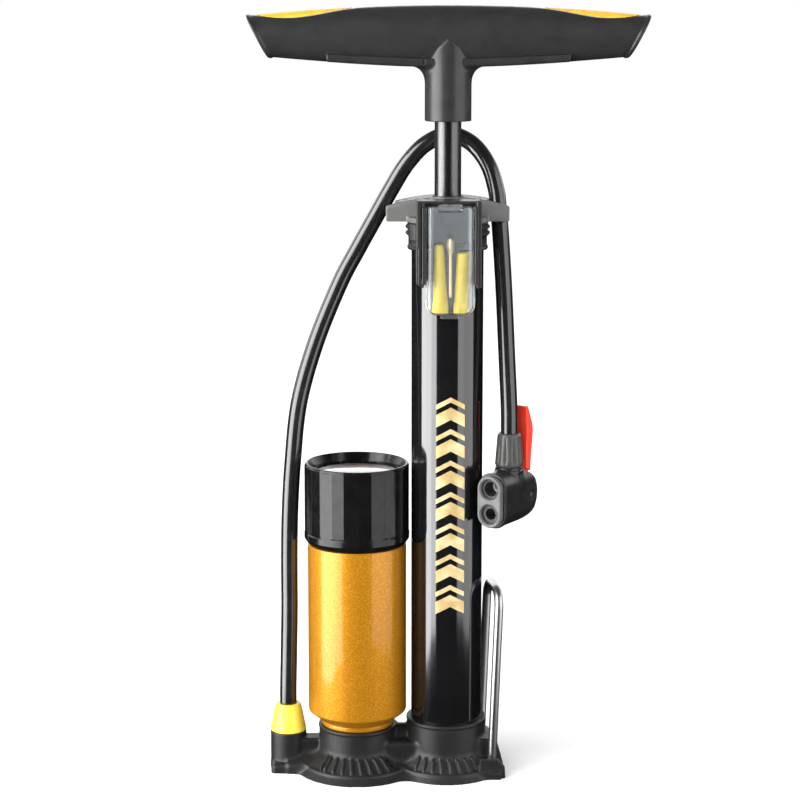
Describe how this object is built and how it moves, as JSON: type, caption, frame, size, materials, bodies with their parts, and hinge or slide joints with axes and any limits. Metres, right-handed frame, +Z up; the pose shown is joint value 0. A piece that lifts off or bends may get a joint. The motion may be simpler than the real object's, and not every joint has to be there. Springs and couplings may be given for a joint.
{
  "type": "floor bike pump",
  "caption": "Small floor pump with T handle, upright barrel, air reservoir with gauge, hose over the top to a twin pump head, accessory case and folding foot pedal.",
  "frame": {"origin": "on the floor, under the axis of the pump barrel", "axes": "+Z up along the barrel, +X from the reservoir side towards the foot pedal, -Y towards the side with the accessory case"},
  "size_m": [0.21, 0.0678, 0.4117],
  "materials": {
    "base_plastic": "fine moulded grain",
    "barrel_black": "gloss",
    "collar_black": "satin",
    "cap_grey": "satin",
    "rod_steel": "ground and plated",
    "gold": "metallic flake",
    "gauge_black": "gloss",
    "clear_lens": "clear",
    "clear_case": "clear",
    "dial_face": "printed",
    "needle_black": "satin",
    "brass": "machined",
    "steel": "plated",
    "rubber": "matt",
    "hose_rubber": "semi-gloss",
    "nylon": "satin",
    "yellow_plastic": "satin",
    "pad_yellow": "soft touch",
    "handle_black": "fine moulded grain",
    "head_black": "satin",
    "head_grey": "satin",
    "collar_grey": "satin",
    "red_plastic": "satin"
  },
  "bodies": {
    "pump": {"base_casting": "base_plastic", "barrel_tube": "barrel_black", "barrel_seal": "rubber", "barrel_collar": "collar_black", "top_cap": "cap_grey", "rod_bush": "nylon", "rod_wiper": "rubber", "case_holder": "cap_grey", "valve_seat": "nylon", "valve_spring": "steel", "gauge_tank": "gold", "tank_seal": "rubber", "gauge_cap": "gauge_black", "gauge_lens": "clear_lens", "gauge_dial": "dial_face", "gauge_movement": "brass", "bourdon_tube": "brass", "hose_barb": "brass", "hose_nut": "yellow_plastic", "hose": "hose_rubber", "head_collar": "collar_grey", "head_body": "head_black", "head_face": "head_grey", "schrader_seal": "rubber", "presta_seal": "rubber", "lever_pin": "steel"},
    "handle": {"piston_rod": "rod_steel", "piston_body": "nylon", "piston_seal": "rubber", "piston_nut": "steel", "handle_body": "handle_black", "handle_pad_left": "pad_yellow", "handle_pad_right": "pad_yellow", "rod_nut": "steel"},
    "valve": {"valve_disc": "rubber"},
    "needle": {"gauge_needle": "needle_black", "needle_spindle": "steel"},
    "lever": {"head_lever": "red_plastic"},
    "plunger": {"head_plunger": "nylon"},
    "case": {"accessory_case": "clear_case", "adaptor_tall": "yellow_plastic", "adaptor_short": "yellow_plastic", "ball_needle": "brass"},
    "pedal": {"foot_pedal": "steel"}
  },
  "joints": [
    {"name": "handle_slide", "type": "slide", "parent": "pump", "child": "handle", "axis": [0, 0, 1], "range_m": [-0.038, 0.18]},
    {"name": "valve_lift", "type": "slide", "parent": "pump", "child": "valve", "axis": [0, 0, -1], "range_m": [0, 0.0015], "stiffness_N_per_m": 40, "springref_m": -0.0005, "deforming": ["valve_spring"]},
    {"name": "needle_turn", "type": "hinge", "parent": "pump", "child": "needle", "pos_m": [-0.0483, 0, 0.1611], "axis": [0, 0, -1], "range_deg": [0, 270], "stiffness_Nm_per_rad": 0.00005},
    {"name": "lever_turn", "type": "hinge", "parent": "pump", "child": "lever", "pos_m": [0.03899, 0.00323, 0.1524], "axis": [-0.8387, 0.5446, 0], "range_deg": [0, 90]},
    {"name": "plunger_slide", "type": "slide", "parent": "pump", "child": "plunger", "axis": [0.5446, 0.8387, 0], "range_m": [0, 0.0021]},
    {"name": "case_slide", "type": "slide", "parent": "pump", "child": "case", "axis": [0, 0, -1], "range_m": [0, 0.045]},
    {"name": "pedal_fold", "type": "hinge", "parent": "pump", "child": "pedal", "pos_m": [0.022, 0, 0.008], "axis": [-0.1736, 0.9848, 0], "range_deg": [0, 87.8]}
  ],
  "couplings": [
    {"joint": "plunger_slide", "follows": "lever_turn", "m_per_rad": 0.0012732}
  ]
}
